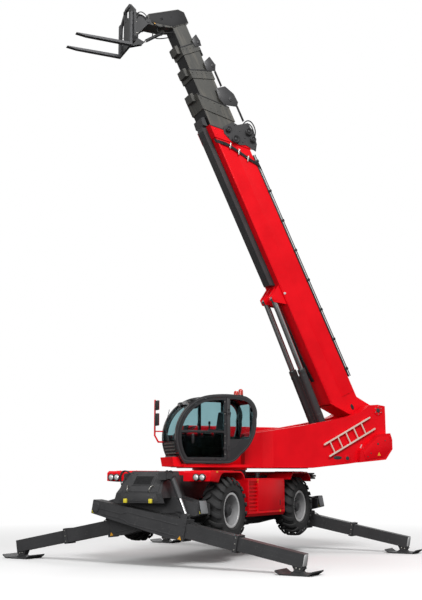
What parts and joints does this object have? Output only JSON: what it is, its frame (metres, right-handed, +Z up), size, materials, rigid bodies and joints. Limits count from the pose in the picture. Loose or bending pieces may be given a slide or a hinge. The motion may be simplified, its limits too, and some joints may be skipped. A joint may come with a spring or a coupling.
{
  "type": "rotating telehandler",
  "caption": "Rotating telehandler on deployed stabilisers, with a slewing cab and turret, a raised telescopic boom and a carriage with pallet forks.",
  "frame": {"origin": "on the ground under the middle of the machine's outline, as it stands on its stabilisers", "axes": "+Z up, +Y towards the chassis's rear, +X towards its left side; the turret, boom and forks stand slewed clockwise towards the front right"},
  "size_m": [7.5292, 7.3024, 12.9603],
  "materials": {
    "red_paint": "gloss",
    "dark_paint": "satin",
    "boom_paint": "satin",
    "cab_paint": "gloss",
    "rim_paint": "satin",
    "ladder_metal": "satin",
    "fork_steel": "satin",
    "polished_rod": "polished",
    "engine_iron": "matte",
    "tyre_rubber": "matte",
    "clear_plastic": "gloss",
    "seat_cloth": "matte",
    "cab_glass": "polished"
  },
  "bodies": {
    "chassis": {"chassis_frame": "dark_paint", "side_boxes": "red_paint", "fenders": "red_paint", "road_lamps": "clear_plastic", "axles": "dark_paint"},
    "turret": {"turret_frame": "red_paint", "counterweight": "red_paint", "engine_cover": "red_paint", "engine_block": "engine_iron", "ladder": "ladder_metal", "cab_shell": "cab_paint", "cab_glass": "cab_glass", "cab_interior": "seat_cloth", "cab_fittings": "red_paint"},
    "door": {"cab_door": "cab_paint", "door_glass": "cab_glass"},
    "boom": {"boom_base": "red_paint", "boom_tray": "dark_paint"},
    "section_2": {"boom_section_2": "boom_paint"},
    "section_3": {"boom_section_3": "boom_paint"},
    "section_4": {"boom_section_4": "boom_paint"},
    "section_5": {"boom_section_5": "boom_paint"},
    "carriage": {"carriage": "dark_paint", "forks": "fork_steel"},
    "tilt_barrel": {"tilt_barrel": "dark_paint"},
    "tilt_rod": {"tilt_rod": "polished_rod"},
    "lift_barrels": {"lift_barrels": "dark_paint"},
    "lift_rods": {"lift_rods": "polished_rod"},
    "arm_front_left": {"stabiliser_outer_front_left": "dark_paint"},
    "arm_middle_front_left": {"stabiliser_middle_front_left": "dark_paint"},
    "arm_tip_front_left": {"stabiliser_tip_front_left": "dark_paint"},
    "arm_barrel_front_left": {"stabiliser_barrel_front_left": "dark_paint"},
    "arm_rod_front_left": {"stabiliser_rod_front_left": "polished_rod"},
    "arm_front_right": {"stabiliser_outer_front_right": "dark_paint"},
    "arm_middle_front_right": {"stabiliser_middle_front_right": "dark_paint"},
    "arm_tip_front_right": {"stabiliser_tip_front_right": "dark_paint"},
    "arm_barrel_front_right": {"stabiliser_barrel_front_right": "dark_paint"},
    "arm_rod_front_right": {"stabiliser_rod_front_right": "polished_rod"},
    "arm_rear_left": {"stabiliser_outer_rear_left": "dark_paint"},
    "arm_middle_rear_left": {"stabiliser_middle_rear_left": "dark_paint"},
    "arm_tip_rear_left": {"stabiliser_tip_rear_left": "dark_paint"},
    "arm_barrel_rear_left": {"stabiliser_barrel_rear_left": "dark_paint"},
    "arm_rod_rear_left": {"stabiliser_rod_rear_left": "polished_rod"},
    "arm_rear_right": {"stabiliser_outer_rear_right": "dark_paint"},
    "arm_middle_rear_right": {"stabiliser_middle_rear_right": "dark_paint"},
    "arm_tip_rear_right": {"stabiliser_tip_rear_right": "dark_paint"},
    "arm_barrel_rear_right": {"stabiliser_barrel_rear_right": "dark_paint"},
    "arm_rod_rear_right": {"stabiliser_rod_rear_right": "polished_rod"},
    "knuckle_front_left": {"knuckle_front_left": "dark_paint"},
    "wheel_front_left": {"tyre_front_left": "tyre_rubber", "rim_front_left": "rim_paint"},
    "knuckle_front_right": {"knuckle_front_right": "dark_paint"},
    "wheel_front_right": {"tyre_front_right": "tyre_rubber", "rim_front_right": "rim_paint"},
    "knuckle_rear_left": {"knuckle_rear_left": "dark_paint"},
    "wheel_rear_left": {"tyre_rear_left": "tyre_rubber", "rim_rear_left": "rim_paint"},
    "knuckle_rear_right": {"knuckle_rear_right": "dark_paint"},
    "wheel_rear_right": {"tyre_rear_right": "tyre_rubber", "rim_rear_right": "rim_paint"}
  },
  "joints": [
    {"name": "slew", "type": "hinge", "parent": "chassis", "child": "turret", "pos_m": [0, -0.24624, 0], "axis": [0, 0, 1], "continuous": true},
    {"name": "luff", "type": "hinge", "parent": "turret", "child": "boom", "pos_m": [2.29236, 2.90892, 3.33], "axis": [-0.809, 0.5878, 0], "range_deg": [-64.15, 8]},
    {"name": "lift_barrel_swing", "type": "hinge", "parent": "turret", "child": "lift_barrels", "pos_m": [1.76336, 2.18081, 2.18], "axis": [-0.809, 0.5878, 0], "range_deg": [-63.1, 7.89]},
    {"name": "lift_rod_slide", "type": "slide", "parent": "lift_barrels", "child": "lift_rods", "axis": [-0.2355, -0.3241, 0.9162], "range_m": [-1.55198, 0.19398]},
    {"name": "extend", "type": "slide", "parent": "boom", "child": "section_2", "axis": [-0.2563, -0.3527, 0.8999], "range_m": [-0.3, 4.9]},
    {"name": "extend_3", "type": "slide", "parent": "section_2", "child": "section_3", "axis": [-0.2563, -0.3527, 0.8999], "range_m": [-0.3, 4.9]},
    {"name": "extend_4", "type": "slide", "parent": "section_3", "child": "section_4", "axis": [-0.2563, -0.3527, 0.8999], "range_m": [-0.3, 4.9]},
    {"name": "extend_5", "type": "slide", "parent": "section_4", "child": "section_5", "axis": [-0.2563, -0.3527, 0.8999], "range_m": [-0.3, 4.9]},
    {"name": "tilt", "type": "hinge", "parent": "section_5", "child": "carriage", "pos_m": [-1.16317, -1.84721, 12.48251], "axis": [-0.809, 0.5878, 0], "range_deg": [-12, 68]},
    {"name": "tilt_barrel_swing", "type": "hinge", "parent": "section_5", "child": "tilt_barrel", "pos_m": [-0.90102, -1.48639, 12.36552], "axis": [-0.809, 0.5878, 0], "range_deg": [-6.3, 35.62]},
    {"name": "tilt_rod_slide", "type": "slide", "parent": "tilt_barrel", "child": "tilt_rod", "axis": [-0.4831, -0.6649, -0.5696], "range_m": [-0.05452, 0.30659]},
    {"name": "door_swing", "type": "hinge", "parent": "turret", "child": "door", "pos_m": [0.78991, -1.31458, 2.7], "axis": [0, 0, 1], "range_deg": [0, 80]},
    {"name": "stabiliser_swing_front_left", "type": "hinge", "parent": "chassis", "child": "arm_front_left", "pos_m": [-1.05, -3.39124, 1.12], "axis": [0, -1, 0], "range_deg": [-2, 9]},
    {"name": "stabiliser_barrel_swing_front_left", "type": "hinge", "parent": "chassis", "child": "arm_barrel_front_left", "pos_m": [0.67, -3.39124, 1.76], "axis": [0, -1, 0], "range_deg": [-2.75, 12.3]},
    {"name": "stabiliser_rod_slide_front_left", "type": "slide", "parent": "arm_barrel_front_left", "child": "arm_rod_front_left", "axis": [0.4041, 0, -0.9147], "range_m": [-0.28505, 0.06373]},
    {"name": "stabiliser_extend_front_left", "type": "slide", "parent": "arm_front_left", "child": "arm_middle_front_left", "axis": [0.9823, 0, -0.1874], "range_m": [-0.98, 0.05]},
    {"name": "stabiliser_extend_tip_front_left", "type": "slide", "parent": "arm_middle_front_left", "child": "arm_tip_front_left", "axis": [0.9823, 0, -0.1874], "range_m": [-0.98, 0.05]},
    {"name": "stabiliser_swing_front_right", "type": "hinge", "parent": "chassis", "child": "arm_front_right", "pos_m": [1.05, -2.99024, 1.12], "axis": [0, 1, 0], "range_deg": [-2, 9]},
    {"name": "stabiliser_barrel_swing_front_right", "type": "hinge", "parent": "chassis", "child": "arm_barrel_front_right", "pos_m": [-0.67, -2.99024, 1.76], "axis": [0, 1, 0], "range_deg": [-2.75, 12.3]},
    {"name": "stabiliser_rod_slide_front_right", "type": "slide", "parent": "arm_barrel_front_right", "child": "arm_rod_front_right", "axis": [-0.4041, 0, -0.9147], "range_m": [-0.28505, 0.06373]},
    {"name": "stabiliser_extend_front_right", "type": "slide", "parent": "arm_front_right", "child": "arm_middle_front_right", "axis": [-0.9823, 0, -0.1874], "range_m": [-0.98, 0.05]},
    {"name": "stabiliser_extend_tip_front_right", "type": "slide", "parent": "arm_middle_front_right", "child": "arm_tip_front_right", "axis": [-0.9823, 0, -0.1874], "range_m": [-0.98, 0.05]},
    {"name": "stabiliser_swing_rear_left", "type": "hinge", "parent": "chassis", "child": "arm_rear_left", "pos_m": [-1.05, 2.49776, 1.12], "axis": [0, -1, 0], "range_deg": [-2, 9]},
    {"name": "stabiliser_barrel_swing_rear_left", "type": "hinge", "parent": "chassis", "child": "arm_barrel_rear_left", "pos_m": [0.67, 2.49776, 1.76], "axis": [0, -1, 0], "range_deg": [-2.75, 12.3]},
    {"name": "stabiliser_rod_slide_rear_left", "type": "slide", "parent": "arm_barrel_rear_left", "child": "arm_rod_rear_left", "axis": [0.4041, 0, -0.9147], "range_m": [-0.28505, 0.06373]},
    {"name": "stabiliser_extend_rear_left", "type": "slide", "parent": "arm_rear_left", "child": "arm_middle_rear_left", "axis": [0.9823, 0, -0.1874], "range_m": [-0.98, 0.05]},
    {"name": "stabiliser_extend_tip_rear_left", "type": "slide", "parent": "arm_middle_rear_left", "child": "arm_tip_rear_left", "axis": [0.9823, 0, -0.1874], "range_m": [-0.98, 0.05]},
    {"name": "stabiliser_swing_rear_right", "type": "hinge", "parent": "chassis", "child": "arm_rear_right", "pos_m": [1.05, 2.89876, 1.12], "axis": [0, 1, 0], "range_deg": [-2, 9]},
    {"name": "stabiliser_barrel_swing_rear_right", "type": "hinge", "parent": "chassis", "child": "arm_barrel_rear_right", "pos_m": [-0.67, 2.89876, 1.76], "axis": [0, 1, 0], "range_deg": [-2.75, 12.3]},
    {"name": "stabiliser_rod_slide_rear_right", "type": "slide", "parent": "arm_barrel_rear_right", "child": "arm_rod_rear_right", "axis": [-0.4041, 0, -0.9147], "range_m": [-0.28505, 0.06373]},
    {"name": "stabiliser_extend_rear_right", "type": "slide", "parent": "arm_rear_right", "child": "arm_middle_rear_right", "axis": [-0.9823, 0, -0.1874], "range_m": [-0.98, 0.05]},
    {"name": "stabiliser_extend_tip_rear_right", "type": "slide", "parent": "arm_middle_rear_right", "child": "arm_tip_rear_right", "axis": [-0.9823, 0, -0.1874], "range_m": [-0.98, 0.05]},
    {"name": "steer_front_left", "type": "hinge", "parent": "chassis", "child": "knuckle_front_left", "pos_m": [0.8, -1.94474, 1.067], "axis": [0, 0, 1], "range_deg": [-30, 30]},
    {"name": "spin_front_left", "type": "hinge", "parent": "knuckle_front_left", "child": "wheel_front_left", "pos_m": [1.055, -1.94474, 1.067], "axis": [1, 0, 0], "continuous": true},
    {"name": "steer_front_right", "type": "hinge", "parent": "chassis", "child": "knuckle_front_right", "pos_m": [-0.8, -1.94474, 1.067], "axis": [0, 0, 1], "range_deg": [-30, 30]},
    {"name": "spin_front_right", "type": "hinge", "parent": "knuckle_front_right", "child": "wheel_front_right", "pos_m": [-1.055, -1.94474, 1.067], "axis": [1, 0, 0], "continuous": true},
    {"name": "steer_rear_left", "type": "hinge", "parent": "chassis", "child": "knuckle_rear_left", "pos_m": [0.8, 1.45226, 1.067], "axis": [0, 0, 1], "range_deg": [-30, 30]},
    {"name": "spin_rear_left", "type": "hinge", "parent": "knuckle_rear_left", "child": "wheel_rear_left", "pos_m": [1.055, 1.45226, 1.067], "axis": [1, 0, 0], "continuous": true},
    {"name": "steer_rear_right", "type": "hinge", "parent": "chassis", "child": "knuckle_rear_right", "pos_m": [-0.8, 1.45226, 1.067], "axis": [0, 0, 1], "range_deg": [-30, 30]},
    {"name": "spin_rear_right", "type": "hinge", "parent": "knuckle_rear_right", "child": "wheel_rear_right", "pos_m": [-1.055, 1.45226, 1.067], "axis": [1, 0, 0], "continuous": true}
  ],
  "couplings": [
    {"joint": "lift_barrel_swing", "follows": "luff", "ratio": 0.98338},
    {"joint": "lift_rod_slide", "follows": "luff", "m_per_rad": 1.3857},
    {"joint": "extend_3", "follows": "extend", "ratio": 1},
    {"joint": "extend_4", "follows": "extend", "ratio": 1},
    {"joint": "extend_5", "follows": "extend", "ratio": 1},
    {"joint": "tilt_barrel_swing", "follows": "tilt", "ratio": 0.52352},
    {"joint": "tilt_rod_slide", "follows": "tilt", "m_per_rad": 0.25791},
    {"joint": "stabiliser_barrel_swing_front_left", "follows": "stabiliser_swing_front_left", "ratio": 1.364},
    {"joint": "stabiliser_rod_slide_front_left", "follows": "stabiliser_swing_front_left", "m_per_rad": -1.8115},
    {"joint": "stabiliser_extend_tip_front_left", "follows": "stabiliser_extend_front_left", "ratio": 1},
    {"joint": "stabiliser_barrel_swing_front_right", "follows": "stabiliser_swing_front_right", "ratio": 1.364},
    {"joint": "stabiliser_rod_slide_front_right", "follows": "stabiliser_swing_front_right", "m_per_rad": -1.8115},
    {"joint": "stabiliser_extend_tip_front_right", "follows": "stabiliser_extend_front_right", "ratio": 1},
    {"joint": "stabiliser_barrel_swing_rear_left", "follows": "stabiliser_swing_rear_left", "ratio": 1.364},
    {"joint": "stabiliser_rod_slide_rear_left", "follows": "stabiliser_swing_rear_left", "m_per_rad": -1.8115},
    {"joint": "stabiliser_extend_tip_rear_left", "follows": "stabiliser_extend_rear_left", "ratio": 1},
    {"joint": "stabiliser_barrel_swing_rear_right", "follows": "stabiliser_swing_rear_right", "ratio": 1.364},
    {"joint": "stabiliser_rod_slide_rear_right", "follows": "stabiliser_swing_rear_right", "m_per_rad": -1.8115},
    {"joint": "stabiliser_extend_tip_rear_right", "follows": "stabiliser_extend_rear_right", "ratio": 1},
    {"joint": "steer_front_right", "follows": "steer_front_left", "ratio": 1},
    {"joint": "steer_rear_right", "follows": "steer_rear_left", "ratio": 1}
  ]
}
